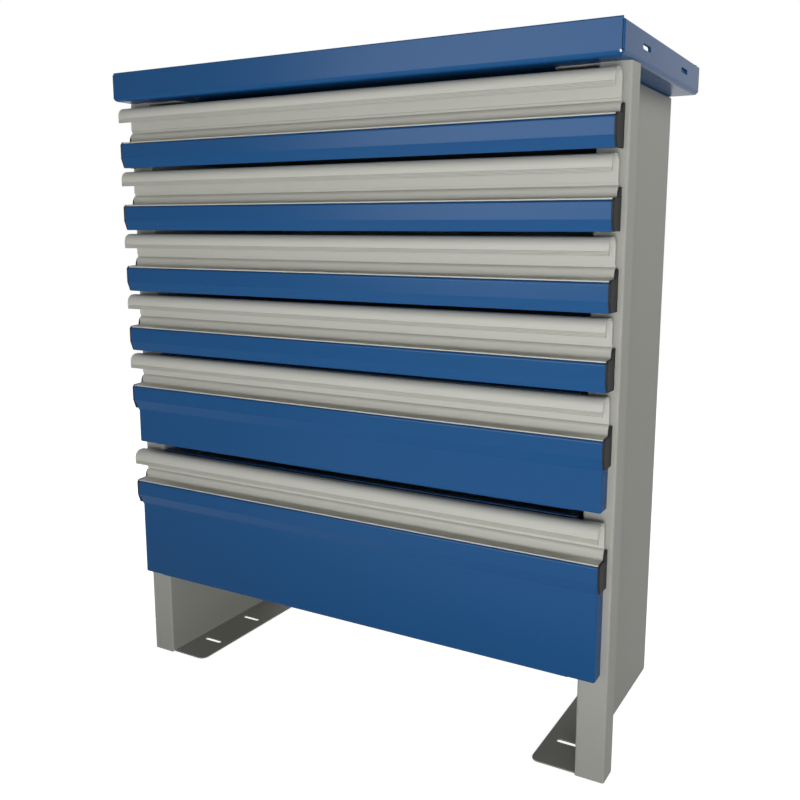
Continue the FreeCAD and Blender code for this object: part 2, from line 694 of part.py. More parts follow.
def cover_screws():
    """Button-head socket screws through the tray's base and the frames' top flanges."""
    screw = turned("screw_master", (
        ("0", "-dims.screw_length"),
        ("dims.screw_shank - dims.screw_point", "-dims.screw_length"),
        ("dims.screw_shank", "-dims.screw_length + dims.screw_point"),
        ("dims.screw_shank", "0"),
        ("dims.screw_head", "0"),
        ("dims.screw_head", "dims.screw_head_height * 0.25"),
        ("dims.screw_head * 0.86", "dims.screw_head_height * 0.72"),
        ("dims.screw_head * 0.55", "dims.screw_head_height"),
        ("0", "dims.screw_head_height"),
    ))
    socket = new_sketch(screw, "socket", "XY_Plane", "dims.screw_head_height")
    outline(socket, hexagon("dims.screw_socket"))
    add_pocket(screw, "socket_cut", socket, "dims.screw_socket_depth")
    return group("cover_screws", screw, cover_screw_places(size("frame_height") + size("frame_sheet")))


def hexagon(half_flats):
    """Corners of a hexagon from half its width across flats."""
    corners = []
    for step in range(6):
        angle = math.radians(60 * step + 30)
        reach = "%s / 0.8660254" % half_flats
        corners.append(("%s * %.7f" % (reach, math.cos(angle)), "%s * %.7f" % (reach, math.sin(angle))))
    return corners


def cover_nuts():
    """Hexagon weld nuts under the frames' top flanges."""
    nut = new_body("nut_master")
    plan = new_sketch(nut, "nut_plan", "XY_Plane")
    outline(plan, hexagon("dims.nut_half"))
    add_pad(nut, "nut_block", plan, "dims.nut_height", True)
    bore = new_sketch(nut, "nut_bore", "XY_Plane")
    circle(bore, "0", "0", "dims.nut_bore")
    add_pocket(nut, "nut_bore_cut", bore, "dims.nut_height")
    return group("cover_nuts", nut, cover_screw_places(size("frame_height") - size("frame_sheet")))


def place_drawer_part(body, number):
    """Drawer parts are drawn from the post face and their blue band's upper edge."""
    bind(body, "Placement.Base.y", "dims.post_front")
    bind(body, "Placement.Base.z", "dims.band_%d" % number)


def handle(number):
    """The grip: an extruded profile with an open hook over the fingers and a ledge on the blue band."""
    name = "drawer_%d_handle" % number
    body = new_body(name)
    profile = new_sketch(body, "profile_%d" % number, "YZ_Plane", "-dims.handle_half")
    under_top = "dims.handle_top - dims.handle_wall"
    grooves = []
    for step in range(int(size("rib_count"))):
        crest = "dims.handle_crease_up - %d * dims.rib_pitch" % step
        deepest = crest + " - (dims.rib_pitch + dims.rib_land) / 2"
        grooves.append(("dims.handle_crease", crest + " - dims.rib_land"))
        grooves.append(("dims.handle_crease + dims.rib_depth", deepest))
        grooves.append(("dims.handle_crease", crest + " - dims.rib_pitch"))
    outline(profile, [
        ("dims.handle_back", "dims.handle_leg_foot"),
        ("dims.handle_back", "dims.handle_top"),
        ("dims.handle_shoulder", "dims.handle_top"),
        ("dims.handle_crease", "dims.handle_crease_up"),
        *grooves,
        ("dims.handle_crease", "dims.handle_lip"),
        ("dims.handle_crease + dims.handle_lip_thick", "dims.handle_lip"),
        ("dims.handle_crease + dims.handle_lip_thick", "dims.handle_crease_up"),
        ("dims.handle_crease + dims.handle_wall", "dims.handle_crease_up + dims.handle_wall"),
        ("dims.handle_shoulder + dims.handle_wall", under_top),
        ("dims.handle_main", under_top),
        ("dims.handle_main", "dims.handle_step"),
        ("dims.handle_groove", "dims.handle_step"),
        ("dims.handle_groove", "dims.handle_groove_foot"),
        ("dims.handle_swell", "dims.handle_swell_up"),
        ("dims.handle_swell", "dims.handle_cove_up"),
        ("dims.handle_ledge", "dims.handle_ledge_up"),
        ("dims.handle_ledge", "0"),
        ("dims.handle_back - dims.handle_wall", "0"),
        ("dims.handle_back - dims.handle_wall", "dims.handle_leg_foot"),
    ])
    padded = add_pad(body, "extrusion_%d" % number, profile, "2 * dims.handle_half")
    shoulder = size("handle_shoulder")
    top = size("handle_top")
    wall = size("handle_wall")
    outer = along_x_at(((size("handle_back"), top), (shoulder, top)))
    hooked = add_round(body, "hook_outside_%d" % number, padded, outer, "dims.handle_hook_radius")
    inner = along_x_at(((size("handle_main"), top - wall), (shoulder + wall, top - wall)))
    lined = add_round(body, "hook_inside_%d" % number, hooked, inner, "dims.handle_hook_inside")
    cove = along_x_at(((size("handle_swell"), size("handle_cove_up")),))
    coved = add_round(body, "cove_%d" % number, lined, cove, "dims.handle_cove_radius")
    swell = along_x_at(((size("handle_swell"), size("handle_swell_up")),))
    add_round(body, "swell_%d" % number, coved, swell, "dims.handle_swell_radius")
    place_drawer_part(body, number)
    return node(body, name)


def low_front_corners():
    """Section of a low drawer's blue band, from its hidden top fold to the hem under its edge."""
    lean = "(dims.front_edge - dims.front_face) / (dims.front_break - dims.front_foot)"
    inner_edge = "dims.front_edge + dims.front_sheet"
    return (
        ("dims.front_inner", "0"),
        ("dims.front_face", "0"),
        ("dims.front_face", "dims.front_break"),
        ("dims.front_edge", "dims.front_foot"),
        ("dims.front_edge + dims.front_hem", "dims.front_foot"),
        ("dims.front_edge + dims.front_hem", "dims.front_foot + dims.front_sheet"),
        (inner_edge + " - %s * dims.front_sheet" % lean, "dims.front_foot + dims.front_sheet"),
        ("dims.front_face + dims.front_sheet", "dims.front_break - dims.front_break_drop"),
        ("dims.front_face + dims.front_sheet", "-dims.front_sheet"),
        ("dims.front_inner", "-dims.front_sheet"),
    )


def tall_front_corners():
    """Section of a tall drawer's blue band, down to where the front turns upright again."""
    return (
        ("dims.front_inner", "0"),
        ("dims.front_face", "0"),
        ("dims.front_face", "dims.front_break"),
        ("dims.apron_face", "dims.apron_start"),
        ("dims.apron_face + dims.front_sheet", "dims.apron_start"),
        ("dims.front_face + dims.front_sheet", "dims.front_break - dims.front_break_drop"),
        ("dims.front_face + dims.front_sheet", "-dims.front_sheet"),
        ("dims.front_inner", "-dims.front_sheet"),
    )


def drawer_front(number):
    """The blue sheet front: a band over the posts, and a wall with a rim that passes between them."""
    name = "drawer_%d_front" % number
    body = new_body(name)
    tall = number in TALL_FEET
    band = new_sketch(body, "band_section_%d" % number, "YZ_Plane", "-dims.handle_half")
    outline(band, tall_front_corners() if tall else low_front_corners())
    padded = add_pad(body, "band_sheet_%d" % number, band, "2 * dims.handle_half")
    upper = along_x_at(((size("front_face"), 0.0),))
    add_round(body, "band_round_%d" % number, padded, upper, "dims.front_radius")

    if tall:
        apron(body, number)
    foot = TALL_FEET.get(number, "dims.web_top - dims.front_sheet")
    wall_front = "dims.tray_front - dims.front_sheet"
    wall = new_sketch(body, "wall_section_%d" % number, "YZ_Plane", "-dims.wall_half")
    web_end = "dims.apron_face + dims.front_sheet / 2" if tall else "dims.front_face + dims.web_overlap"
    outline(wall, (
        ("dims.tray_front", foot),
        ("dims.tray_front", "dims.wall_top - dims.front_sheet"),
        ("dims.wall_rim - dims.front_sheet", "dims.wall_top - dims.front_sheet"),
        ("dims.wall_rim - dims.front_sheet", "dims.wall_top - dims.wall_hem"),
        ("dims.wall_rim", "dims.wall_top - dims.wall_hem"),
        ("dims.wall_rim", "dims.wall_top"),
        (wall_front, "dims.wall_top"),
        (wall_front, foot + " + dims.front_sheet"),
        (web_end, foot + " + dims.front_sheet"),
        (web_end, foot),
    ))
    add_pad(body, "wall_sheet_%d" % number, wall, "2 * dims.wall_half")
    doc.recompute()
    rim = along_x_at(((size("wall_rim"), size("wall_top")),
                      (size("tray_front") - size("front_sheet"), size("wall_top"))))
    add_round(body, "wall_rim_%d" % number, body.Tip, rim, "dims.bend_inside")
    place_drawer_part(body, number)
    return node(body, name)


def apron(body, number):
    """A tall front's lower part: a pan folded back at its sides and along its bottom."""
    foot = TALL_FEET[number]
    plan = new_sketch(body, "apron_face_%d" % number, "XZ_Plane", "-dims.apron_face")
    outline(plan, box_corners("-dims.apron_half", foot, "dims.apron_half", "dims.apron_start"))
    block = add_pad(body, "apron_block_%d" % number, plan, "dims.apron_back - dims.apron_face", True)
    doc.recompute()
    low = size("foot_%d" % number)
    face = size("apron_face")
    half = size("apron_half")

    def folds(start, end):
        on_face = close(start.y, face) and close(end.y, face)
        upright = close(abs(start.x), half) and close(start.x, end.x)
        bottom = close(start.z, low) and close(end.z, low)
        return (on_face and (upright or bottom)) or (upright and bottom)
    add_round(body, "apron_folds_%d" % number, block, folds, "dims.apron_radius")
    hollow = new_sketch(body, "apron_hollow_%d" % number, "XZ_Plane", "-dims.apron_back")
    outline(hollow, box_corners(
        "-(dims.apron_half - dims.front_sheet)", foot + " + dims.front_sheet",
        "dims.apron_half - dims.front_sheet", "dims.apron_start",
    ))
    add_pocket(body, "apron_hollow_cut_%d" % number, hollow,
               "dims.apron_back - dims.apron_face - dims.front_sheet", True)


def end_cap(number, side):
    """A black cap on one end of the handle and the band, with a hollow plug inside them."""
    word, sign = side
    name = "drawer_%d_end_cap_%s" % (number, word)
    tag = "%d_%s" % (number, word)
    body = new_body(name)
    right = not sign
    lift = "dims.handle_half" if right else "-(dims.handle_half + dims.cap_sheet)"
    plate = new_sketch(body, "cap_outline_" + tag, "YZ_Plane", lift)
    outline(plate, (
        ("dims.cap_back", "dims.cap_foot"),
        ("dims.cap_back", "dims.cap_top"),
        ("dims.cap_tip", "dims.cap_top"),
        ("dims.cap_slope", "dims.cap_slope_up"),
        ("dims.cap_cove", "dims.cap_ledge"),
        ("dims.cap_shoulder", "dims.cap_shoulder_up"),
        ("dims.cap_face", "dims.cap_face_up"),
        ("dims.cap_face", "dims.front_break"),
        ("dims.cap_edge", "dims.cap_foot"),
    ))
    padded = add_pad(body, "cap_plate_" + tag, plate, "dims.cap_sheet")
    doc.recompute()
    outer_x = size("handle_half") + size("cap_sheet")
    outer_x = outer_x if right else -outer_x

    def outer_edges(start, end):
        return close(start.x, outer_x) and close(end.x, outer_x)
    add_round(body, "cap_round_" + tag, padded, outer_edges, "dims.cap_round")
    plug = new_sketch(body, "plug_" + tag, "YZ_Plane", sign + "dims.handle_half")
    outline(plug, box_corners("dims.plug_front", "dims.plug_foot", "dims.plug_back", "dims.plug_top"))
    outline(plug, box_corners(
        "dims.plug_front + dims.plug_wall", "dims.plug_foot + dims.plug_wall",
        "dims.plug_back - dims.plug_wall", "dims.plug_top - dims.plug_wall",
    ))
    add_pad(body, "plug_pad_" + tag, plug, "dims.plug_depth", right)
    place_drawer_part(body, number)
    return node(body, name)


def tray(number):
    """A drawer's sheet-steel tray: floor, four walls and a rim turned in along three of them."""
    name = "drawer_%d_tray" % number
    body = new_body(name)
    foot = TRAY_FEET.get(number, "dims.tray_foot_low")
    plan = new_sketch(body, "tray_plan_%d" % number, "XY_Plane", foot)
    outline(plan, box_corners("-dims.tray_half", "dims.tray_front", "dims.tray_half", "dims.tray_back"))
    block = add_pad(body, "tray_block_%d" % number, plan, "dims.tray_rim_up - (%s)" % foot)
    doc.recompute()
    half = size("tray_half")
    back = size("tray_back")

    def folds(start, end):
        side_fold = close(abs(start.x), half) and close(start.x, end.x) and not close(start.y, end.y)
        back_fold = close(start.y, back) and close(end.y, back)
        return side_fold or back_fold
    add_round(body, "tray_folds_%d" % number, block, folds, "dims.tray_bend")

    mouth = new_sketch(body, "tray_mouth_%d" % number, "XY_Plane", "dims.tray_rim_up")
    outline(mouth, box_corners(
        "-(dims.tray_half - dims.tray_rim)", "dims.tray_front + dims.panel_sheet",
        "dims.tray_half - dims.tray_rim", "dims.tray_back - dims.tray_rim",
    ))
    add_pocket(body, "tray_mouth_cut_%d" % number, mouth, "dims.tray_rim_up - (%s) - dims.panel_sheet" % foot)
    inside = new_sketch(body, "tray_inside_%d" % number, "XY_Plane", "dims.tray_rim_up - dims.panel_sheet")
    outline(inside, box_corners(
        "-(dims.tray_half - dims.panel_sheet)", "dims.tray_front + dims.panel_sheet",
        "dims.tray_half - dims.panel_sheet", "dims.tray_back - dims.panel_sheet",
    ))
    add_pocket(body, "tray_inside_cut_%d" % number, inside,
               "dims.tray_rim_up - (%s) - 2 * dims.panel_sheet" % foot)
    place_drawer_part(body, number)
    return node(body, name)


def rail_pair(name, number, corners, start, length):
    """A slide member along Y on each side: drawn on the right, mirrored to the left."""
    body = new_body(name + "_right")
    section = new_sketch(body, name + "_section", "XZ_Plane", "-(%s)" % start)
    outline(section, corners)
    add_pad(body, name + "_pad", section, length, True)
    place_drawer_part(body, number)
    doc.recompute()
    mirror = doc.addObject("Part::Mirroring", name + "_left")
    mirror.Source = body
    mirror.Normal = Vector(1, 0, 0)
    mirror.Base = Vector(0, 0, 0)
    pair = doc.addObject("Part::Compound", name)
    pair.Links = [body, mirror]
    return node(pair, name)


def slide_members(number):
    """The three members of a drawer's two slides: fixed, middle and drawer member."""
    def away(distance):
        return "dims.plate_inside - (%s)" % distance

    def level(height):
        return "dims.slide_up + (%s)" % height
    wall = "dims.rail_sheet"
    front = "dims.rail_front"
    length = "dims.rail_length"
    fixed = []
    for upside in (1, -1):
        run = [
            (away("0"), level("%d * dims.rail_half" % upside)),
            (away("dims.rail_deep"), level("%d * dims.rail_half" % upside)),
            (away("dims.rail_deep"), level("%d * (dims.rail_half - dims.rail_lip)" % upside)),
            (away("dims.rail_deep - %s" % wall), level("%d * (dims.rail_half - dims.rail_lip)" % upside)),
            (away("dims.rail_deep - %s" % wall), level("%d * (dims.rail_half - %s)" % (upside, wall))),
            (away(wall), level("%d * (dims.rail_half - %s)" % (upside, wall))),
        ]
        fixed.extend(run if upside == 1 else run[::-1])
    rail_pair("slide_%d_fixed_member" % number, number, fixed, front, length)

    middle = (
        (away("dims.middle_face"), level("dims.middle_half")),
        (away("dims.middle_deep"), level("dims.middle_half")),
        (away("dims.middle_deep"), level("dims.middle_half - " + wall)),
        (away("dims.middle_face + " + wall), level("dims.middle_half - " + wall)),
        (away("dims.middle_face + " + wall), level("-(dims.middle_half - %s)" % wall)),
        (away("dims.middle_deep"), level("-(dims.middle_half - %s)" % wall)),
        (away("dims.middle_deep"), level("-dims.middle_half")),
        (away("dims.middle_face"), level("-dims.middle_half")),
    )
    rail_pair("slide_%d_middle_member" % number, number, middle,
              front + " + dims.middle_inset", length + " - 2 * dims.middle_inset")

    inner = (
        (away("dims.inner_face"), level("dims.inner_half")),
        (away("dims.inner_edge"), level("dims.inner_half")),
        (away("dims.inner_edge"), level("dims.inner_half - " + wall)),
        (away("dims.inner_face - " + wall), level("dims.inner_half - " + wall)),
        (away("dims.inner_face - " + wall), level("-(dims.inner_half - %s)" % wall)),
        (away("dims.inner_edge"), level("-(dims.inner_half - %s)" % wall)),
        (away("dims.inner_edge"), level("-dims.inner_half")),
        (away("dims.inner_face"), level("-dims.inner_half")),
    )
    rail_pair("slide_%d_drawer_member" % number, number, inner,
              front + " - dims.inner_lead", length + " - dims.inner_short")


def check_and_write():
    """Stop on any failed object, then write each sub-part to its own file."""
    doc.recompute()
    for thing in doc.Objects:
        if "Invalid" in thing.State or "Error" in thing.State:
            raise RuntimeError("%s is %s" % (thing.Label, thing.State))
    os.makedirs("parts", exist_ok=True)
    for thing in nodes:
        if thing.Shape.isNull() or not thing.Shape.isValid():
            raise RuntimeError("%s has no valid shape" % thing.Label)
        thing.Shape.exportStep(os.path.join("parts", thing.Label + ".step"))
        box = thing.Shape.BoundBox
        print("%-28s solids %2d volume %9.0f  x %7.1f %7.1f  y %7.1f %7.1f  z %6.1f %6.1f" % (
            thing.Label, len(thing.Shape.Solids), thing.Shape.Volume,
            box.XMin, box.XMax, box.YMin, box.YMax, box.ZMin, box.ZMax,
        ))
    print("nodes", len(nodes))


side_frame(LEFT)
side_frame(RIGHT)
top_tray()
back_panel()
back_rivets()
cover_screws()
cover_nuts()
for drawer in DRAWERS:
    tray(drawer)
    drawer_front(drawer)
    handle(drawer)
    end_cap(drawer, LEFT)
    end_cap(drawer, RIGHT)
    slide_members(drawer)
check_and_write()
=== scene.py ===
import bpy
from mathutils import Matrix, Vector


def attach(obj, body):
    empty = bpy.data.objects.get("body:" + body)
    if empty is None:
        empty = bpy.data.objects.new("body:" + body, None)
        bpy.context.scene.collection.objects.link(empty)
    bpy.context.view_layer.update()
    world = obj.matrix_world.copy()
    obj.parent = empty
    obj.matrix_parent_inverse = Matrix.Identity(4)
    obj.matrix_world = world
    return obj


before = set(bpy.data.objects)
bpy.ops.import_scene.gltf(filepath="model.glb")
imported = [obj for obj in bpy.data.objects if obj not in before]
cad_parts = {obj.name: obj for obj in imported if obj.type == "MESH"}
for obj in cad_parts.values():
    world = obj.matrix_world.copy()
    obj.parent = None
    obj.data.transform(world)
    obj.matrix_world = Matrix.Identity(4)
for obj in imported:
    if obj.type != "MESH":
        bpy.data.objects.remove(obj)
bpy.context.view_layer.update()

# One millimetre in Blender's metres; sizes of the object are written in millimetres.
MM = 0.001
DRAWERS = (1, 2, 3, 4, 5, 6)
# Level of each blue band's upper edge, which the slides are placed from.
BAND_LEVEL = {1: 666.4, 2: 591.4, 3: 516.4, 4: 441.4, 5: 366.4, 6: 241.4}
# Where the side frames' posts end at the front, and how far their plates' inner faces are from the middle.
POST_FRONT = -120.7
PLATE_INSIDE = 281.6


def linear(code):
    """A hex sRGB colour as the linear RGBA that Blender's sockets hold."""
    values = []
    for start in (0, 2, 4):
        share = int(code[start:start + 2], 16) / 255
        values.append(share / 12.92 if share <= 0.04045 else ((share + 0.055) / 1.055) ** 2.4)
    return (*values, 1.0)


def add_node(tree, kind, links=None, **settings):
    """Adds a node: settings are its own properties, links give inputs a value or another node's socket."""
    made = tree.nodes.new(kind)
    for name, value in settings.items():
        setattr(made, name, value)
    for name, value in (links or {}).items():
        socket = made.inputs[name]
        if isinstance(value, bpy.types.NodeSocket):
            tree.links.new(value, socket)
        else:
            socket.default_value = value
    return made


def new_material(name):
    """A material with an empty tree and its output, ready for a shader."""
    material = bpy.data.materials.new(name)
    material.use_nodes = True
    tree = material.node_tree
    tree.nodes.clear()
    return material, tree, add_node(tree, "ShaderNodeOutputMaterial")


# What all finishes share: the broad cloud, the fine grain, and how much the grain varies the roughness.
CLOUD_SCALE = 6.0
CLOUD_DETAIL = 3.0
GRAIN_DETAIL = 2.0
GRAIN_DEPTH = 0.2
SHEEN_SPREAD = 0.04
EDGE_SAMPLES = 4


def coated(name, colour, darker, rough, texture_scale, bump, edge_mm, metallic=0.0, specular=0.5):
    """A finish with a faint cloud of tone, a fine surface texture and softly broken edges."""
    material, tree, output = new_material(name)
    place = add_node(tree, "ShaderNodeTexCoord")
    cloud = add_node(tree, "ShaderNodeTexNoise",
                     {"Vector": place.outputs["Object"], "Scale": CLOUD_SCALE, "Detail": CLOUD_DETAIL})
    grain = add_node(tree, "ShaderNodeTexNoise",
                     {"Vector": place.outputs["Object"], "Scale": texture_scale, "Detail": GRAIN_DETAIL})
    tone = add_node(tree, "ShaderNodeMix",
                    {"Factor": cloud.outputs["Fac"], "A": linear(colour), "B": linear(darker)},
                    data_type="RGBA")
    sheen = add_node(tree, "ShaderNodeMapRange",
                     {"Value": grain.outputs["Fac"], "To Min": rough - SHEEN_SPREAD,
                      "To Max": rough + SHEEN_SPREAD})
    edge = add_node(tree, "ShaderNodeBevel", {"Radius": edge_mm * MM}, samples=EDGE_SAMPLES)
    relief = add_node(tree, "ShaderNodeBump",
                      {"Height": grain.outputs["Fac"], "Strength": bump, "Distance": GRAIN_DEPTH * MM,
                       "Normal": edge.outputs["Normal"]})
    shader = add_node(tree, "ShaderNodeBsdfPrincipled",
                      {"Base Color": tone.outputs["Result"], "Roughness": sheen.outputs["Result"],
                       "Metallic": metallic, "Normal": relief.outputs["Normal"],
                       "Specular IOR Level": specular})
    tree.links.new(shader.outputs["BSDF"], output.inputs["Surface"])
    return material


# Satin powder coat in light silver grey: even and slightly soft, no sparkle.
GREY_PAINT = coated("grey_powder_coat", "AAAAA3", "A6A69F", 0.46, 900.0, 0.06, 0.5, specular=0.06)
# Satin powder coat in deep blue: a clearer reflection along the facets.
BLUE_PAINT = coated("blue_powder_coat", "1A4F82", "194D7F", 0.26, 900.0, 0.03, 0.5, specular=0.08)
# A lighter satin grey on the handle extrusions, over a smoother surface.
GRIP_PAINT = coated("satin_grey_grip_coat", "C0C0B8", "BCBCB4", 0.40, 700.0, 0.04, 0.25, specular=0.06)
# Moulded black plastic: near black, with a matt grain.
BLACK_PLASTIC = coated("matt_black_plastic", "272727", "232323", 0.55, 1400.0, 0.20, 0.3, specular=0.1)
# Zinc-plated steel: bright and slightly bluish, with a soft cloud from the plating.
ZINC = coated("bright_zinc_plate", "C3C6CA", "ABB0B6", 0.28, 260.0, 0.08, 0.2, metallic=1.0)
# Hardened steel balls: dark, clean and sharp in reflection.
BALL_STEEL = coated("hardened_ball_steel", "8E9196", "82858A", 0.14, 800.0, 0.02, 0.05, metallic=1.0)
# Stamped ball cage: the same zinc finish, a little duller.
CAGE_STEEL = coated("dull_zinc_cage", "A9ABAD", "9A9DA0", 0.40, 400.0, 0.10, 0.1, metallic=1.0)

# Finishes by the start of a node's name, and by the end of a drawer node's name.
FINISHES = (
    ("side_frame", GREY_PAINT), ("back_panel", GREY_PAINT), ("top_tray", BLUE_PAINT),
    ("back_rivets", ZINC), ("cover_", ZINC), ("slide_", ZINC),
)
DRAWER_FINISHES = {"tray": GREY_PAINT, "front": BLUE_PAINT, "handle": GRIP_PAINT,
                   "end_cap_left": BLACK_PLASTIC, "end_cap_right": BLACK_PLASTIC}


def finish_of(name):
    """The finish of a CAD node, from its name."""
    if name.startswith("drawer_"):
        return DRAWER_FINISHES[name.split("_", 2)[2]]
    for start, material in FINISHES:
        if name.startswith(start):
            return material
    raise ValueError(name)


for node_name, node_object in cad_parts.items():
    node_object.data.materials.clear()
    node_object.data.materials.append(finish_of(node_name))

# Ball cages: each slide holds two, one on either side of its middle member, which they travel with.
# A cage is a folded strip with a web and two flanges, and a row of balls along each flange.
BALL_RADIUS = 1.3
BALL_PITCH = 11.5
BALL_COUNT = 10
BALL_SEGMENTS = 12
BALL_RINGS = 8
# Thickness of the cage's sheet, and how far a cage goes on past its first and last ball.
STRIP = 0.4
CAGE_END = 3.0
# Level is a flange's height from the slide's middle. Web, edge and ball are distances from the side plate.
# First is the first ball's distance behind the post's front.
CAGES = (
    {"level": 15.15, "web": 1.55, "edge": 8.9, "ball": 6.6, "first": 138.0},
    {"level": 10.95, "web": 4.10, "edge": 11.6, "ball": 9.0, "first": 14.0},
)
# How far the slide's middle lies above the blue band's upper edge.
SLIDE_UP = 2.0


def ball_group():
    """A node group: each flagged point of the mesh starts a row of balls, and the faces stay as the cage."""
    tree = bpy.data.node_groups.new("ball_rows", "GeometryNodeTree")
    sockets = (
        ("Geometry", "INPUT", "NodeSocketGeometry"), ("Balls", "INPUT", "NodeSocketInt"),
        ("Pitch", "INPUT", "NodeSocketFloat"), ("Ball Radius", "INPUT", "NodeSocketFloat"),
        ("Ball Finish", "INPUT", "NodeSocketMaterial"), ("Cage Finish", "INPUT", "NodeSocketMaterial"),
        ("Geometry", "OUTPUT", "NodeSocketGeometry"),
    )
    for label, way, kind in sockets:
        tree.interface.new_socket(label, in_out=way, socket_type=kind)
    given = add_node(tree, "NodeGroupInput").outputs
    flag = add_node(tree, "GeometryNodeInputNamedAttribute", {"Name": "row_start"}, data_type="BOOLEAN")
    parts = add_node(tree, "GeometryNodeSeparateGeometry",
                     {"Geometry": given["Geometry"], "Selection": flag.outputs["Attribute"]})
    step = add_node(tree, "ShaderNodeCombineXYZ", {"Y": given["Pitch"]})
    line = add_node(tree, "GeometryNodeMeshLine", {"Count": given["Balls"], "Offset": step.outputs["Vector"]})
    ball = add_node(tree, "GeometryNodeMeshUVSphere",
                    {"Segments": BALL_SEGMENTS, "Rings": BALL_RINGS, "Radius": given["Ball Radius"]})
    row = add_node(tree, "GeometryNodeInstanceOnPoints",
                   {"Points": line.outputs["Mesh"], "Instance": ball.outputs["Mesh"]})
    rows = add_node(tree, "GeometryNodeInstanceOnPoints",
                    {"Points": parts.outputs["Selection"], "Instance": row.outputs["Instances"]})
    real = add_node(tree, "GeometryNodeRealizeInstances", {"Geometry": rows.outputs["Instances"]})
    smooth = add_node(tree, "GeometryNodeSetShadeSmooth", {"Geometry": real.outputs["Geometry"]})
    steel = add_node(tree, "GeometryNodeSetMaterial",
                     {"Geometry": smooth.outputs["Geometry"], "Material": given["Ball Finish"]})
    cage = add_node(tree, "GeometryNodeSetMaterial",
                    {"Geometry": parts.outputs["Inverted"], "Material": given["Cage Finish"]})
    both = add_node(tree, "GeometryNodeJoinGeometry")
    tree.links.new(steel.outputs["Geometry"], both.inputs["Geometry"])
    tree.links.new(cage.outputs["Geometry"], both.inputs["Geometry"])
    made = add_node(tree, "NodeGroupOutput")
    tree.links.new(both.outputs["Geometry"], made.inputs["Geometry"])
    return tree


def add_box(points, faces, low, high):
    """Adds a box between two corners, in millimetres, to a list of points and faces."""
    start = len(points)
    for x in (low[0], high[0]):
        for y in (low[1], high[1]):
            for z in (low[2], high[2]):
                points.append((x * MM, y * MM, z * MM))
    for face in ((0, 1, 3, 2), (4, 6, 7, 5), (0, 4, 5, 1), (2, 3, 7, 6), (0, 2, 6, 4), (1, 5, 7, 3)):
        faces.append([start + corner for corner in face])


def cages(number, group):
    """The four ball cages of one drawer's two slides, as one plain mesh."""
    points, faces, starts = [], [], []
    level = BAND_LEVEL[number] + SLIDE_UP
    for way in (-1, 1):
        for cage in CAGES:
            near = POST_FRONT + cage["first"]
            far = near + BALL_PITCH * (BALL_COUNT - 1)
            spread = sorted(way * (PLATE_INSIDE - cage[edge]) for edge in ("web", "edge"))
            web = sorted(way * (PLATE_INSIDE - cage["web"] - depth) for depth in (0.0, STRIP))
            top = cage["level"] + STRIP / 2
            start = near - CAGE_END
            end = far + CAGE_END
            add_box(points, faces, (web[0], start, level - top), (web[1], end, level + top))
            for upside in (-1, 1):
                flange = level + upside * cage["level"]
                add_box(points, faces, (spread[0], start, flange - STRIP / 2),
                        (spread[1], end, flange + STRIP / 2))
                starts.append((way * (PLATE_INSIDE - cage["ball"]) * MM, near * MM, flange * MM))
    mesh = bpy.data.meshes.new("cages_%d" % number)
    mesh.from_pydata(points + starts, [], faces)
    flags = mesh.attributes.new("row_start", "BOOLEAN", "POINT")
    for index in range(len(starts)):
        flags.data[len(points) + index].value = True
    base = bpy.data.objects.new("cages_%d" % number, mesh)
    bpy.context.scene.collection.objects.link(base)
    modifier = base.modifiers.new("balls", "NODES")
    modifier.node_group = group
    wanted = {"Balls": BALL_COUNT, "Pitch": BALL_PITCH * MM, "Ball Radius": BALL_RADIUS * MM,
              "Ball Finish": BALL_STEEL, "Cage Finish": CAGE_STEEL}
    for item in group.interface.items_tree:
        if item.in_out == "INPUT" and item.name in wanted:
            modifier[item.identifier] = wanted[item.name]
    bpy.context.view_layer.update()
    depsgraph = bpy.context.evaluated_depsgraph_get()
    plain = bpy.data.meshes.new_from_object(base.evaluated_get(depsgraph), depsgraph=depsgraph)
    bpy.data.objects.remove(base)
    piece = bpy.data.objects.new("slide_%d_ball_cages" % number, plain)
    bpy.context.scene.collection.objects.link(piece)
    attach(piece, "slide_%d_middle" % number)


rows = ball_group()
for drawer in DRAWERS:
    cages(drawer, rows)

# Studio: a pale floor that keeps the shadow, a white surround for the eye and for reflections.
WHITE = (1.0, 1.0, 1.0, 1.0)
FLOOR_TONE = "BEBEBE"
FLOOR_GLOW = 0.92
FLOOR_SIZE = 12.0
# The floor lies this much under the feet, so that the two faces don't flicker into each other.
FLOOR_SINK = 0.5
# Strength of the soft sky at the horizon and at the height where it no longer changes.
SKY_LOW = 0.32
SKY_HIGH = 0.12
SKY_TOP = 0.8


def seen_directly(tree):
    """One where a ray comes from the camera, a glossy or a transmitting surface, else zero."""
    path = add_node(tree, "ShaderNodeLightPath")
    either = add_node(tree, "ShaderNodeMath", operation="MAXIMUM")
    any_of = add_node(tree, "ShaderNodeMath", operation="MAXIMUM")
    tree.links.new(path.outputs["Is Camera Ray"], either.inputs[0])
    tree.links.new(path.outputs["Is Glossy Ray"], either.inputs[1])
    tree.links.new(either.outputs["Value"], any_of.inputs[0])
    tree.links.new(path.outputs["Is Transmission Ray"], any_of.inputs[1])
    return any_of.outputs["Value"]


